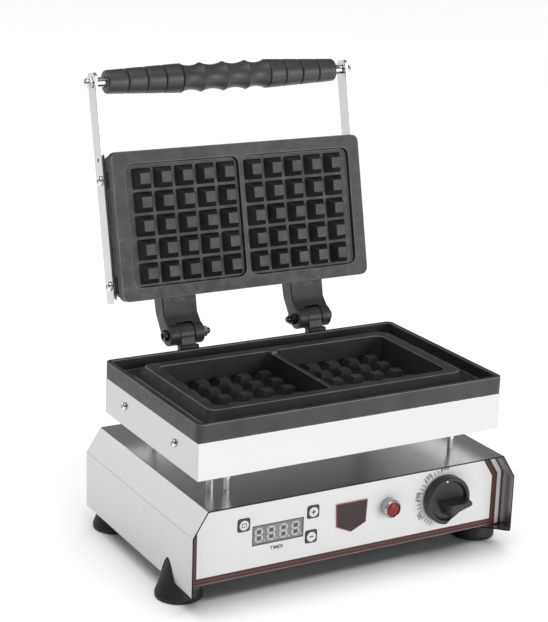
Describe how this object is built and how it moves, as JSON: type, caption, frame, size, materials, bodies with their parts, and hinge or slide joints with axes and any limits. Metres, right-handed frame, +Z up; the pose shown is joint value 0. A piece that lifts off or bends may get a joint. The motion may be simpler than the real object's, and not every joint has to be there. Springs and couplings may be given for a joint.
{
  "type": "double waffle maker",
  "caption": "Hinged double waffle maker: ribbed cast plates with peg grids, steel skirt and folded steel base with timer, lamp, thermostat knob and conical feet.",
  "frame": {"origin": "on the worktop, under the middle of the machine's bounding box with the lid open as stored", "axes": "+Z up, -Y towards the cook at the control panel, +X to the cook's right; the lid hinge runs along X at the back"},
  "size_m": [0.34, 0.288, 0.4062],
  "materials": {
    "cast_plate": "seasoned matt charcoal casting",
    "cast_fitting": "black cast fitting",
    "brushed_steel": "brushed stainless sheet",
    "fastener_steel": "bright plated steel",
    "galvanised_sheet": "galvanised sheet",
    "foot_rubber": "matt black rubber",
    "grip_plastic": "matt heat-proof phenolic",
    "knob_plastic": "satin charcoal phenolic",
    "label_film": "satin printed film",
    "badge_enamel": "dark red-brown enamel",
    "display_lens": "smoked grey window",
    "key_plastic": "dark grey key cap",
    "bezel_chrome": "polished chrome",
    "lamp_lens": "translucent red",
    "circuit_board": "green solder mask",
    "black_housing": "black moulding",
    "terminal_ceramic": "ivory ceramic",
    "heater_sheath": "oxidised element sheath"
  },
  "bodies": {
    "base": {"back_panel": "brushed_steel", "badge_plate": "badge_enamel", "base_shell": "brushed_steel", "bottom_tray": "galvanised_sheet", "cable_gland": "black_housing", "display_window": "display_lens", "foot_back_left": "foot_rubber", "foot_back_right": "foot_rubber", "foot_front_left": "foot_rubber", "foot_front_right": "foot_rubber", "front_panel": "brushed_steel", "hinge_lug_left": "cast_fitting", "hinge_lug_right": "cast_fitting", "indicator_bezel": "bezel_chrome", "indicator_lamp": "terminal_ceramic", "indicator_lens": "lamp_lens", "lower_heater": "heater_sheath", "lower_plate": "cast_plate", "lower_skirt": "brushed_steel", "lug_screw_left": "fastener_steel", "lug_screw_right": "fastener_steel", "panel_label": "label_film", "post_back_left": "fastener_steel", "post_back_right": "fastener_steel", "post_front_left": "fastener_steel", "post_front_right": "fastener_steel", "sensor_capillary": "heater_sheath", "skirt_screw_back_left": "fastener_steel", "skirt_screw_back_right": "fastener_steel", "skirt_screw_front_left": "fastener_steel", "skirt_screw_front_right": "fastener_steel", "terminal_block": "terminal_ceramic", "thermostat_body": "black_housing", "timer_board": "circuit_board", "wiring_conduit": "galvanised_sheet"},
    "lid": {"arm_screw_high_left": "fastener_steel", "arm_screw_high_right": "fastener_steel", "arm_screw_low_left": "fastener_steel", "arm_screw_low_right": "fastener_steel", "handle_arm_left": "brushed_steel", "handle_arm_right": "brushed_steel", "handle_nut_left": "fastener_steel", "handle_nut_right": "fastener_steel", "handle_rod": "fastener_steel", "hinge_bolt_left": "cast_fitting", "hinge_bolt_right": "cast_fitting", "hinge_bracket_left": "cast_fitting", "hinge_bracket_right": "cast_fitting", "hinge_nut_left": "fastener_steel", "hinge_nut_right": "fastener_steel", "upper_cover": "brushed_steel", "upper_heater": "heater_sheath", "upper_plate": "cast_plate"},
    "grip": {"handle_grip": "grip_plastic"},
    "knob": {"thermostat_knob": "knob_plastic", "thermostat_shaft": "fastener_steel"},
    "key_set": {"key_set": "key_plastic"},
    "key_plus": {"key_plus": "key_plastic"},
    "key_minus": {"key_minus": "key_plastic"}
  },
  "joints": [
    {"name": "lid_hinge", "type": "hinge", "parent": "base", "child": "lid", "pos_m": [0, 0.0676, 0.171], "axis": [1, 0, 0], "range_deg": [0, 103]},
    {"name": "grip_spin", "type": "hinge", "parent": "lid", "child": "grip", "pos_m": [0, 0.13066, 0.393], "axis": [1, 0, 0], "continuous": true},
    {"name": "thermostat_turn", "type": "hinge", "parent": "base", "child": "knob", "pos_m": [0.0955, -0.1228, 0.0543], "axis": [0, -1, 0], "range_deg": [0, 160]},
    {"name": "key_set_press", "type": "slide", "parent": "base", "child": "key_set", "axis": [0, 1, 0], "range_m": [0, 0.0006], "stiffness_N_per_m": 900},
    {"name": "key_plus_press", "type": "slide", "parent": "base", "child": "key_plus", "axis": [0, 1, 0], "range_m": [0, 0.0006], "stiffness_N_per_m": 900},
    {"name": "key_minus_press", "type": "slide", "parent": "base", "child": "key_minus", "axis": [0, 1, 0], "range_m": [0, 0.0006], "stiffness_N_per_m": 900}
  ]
}
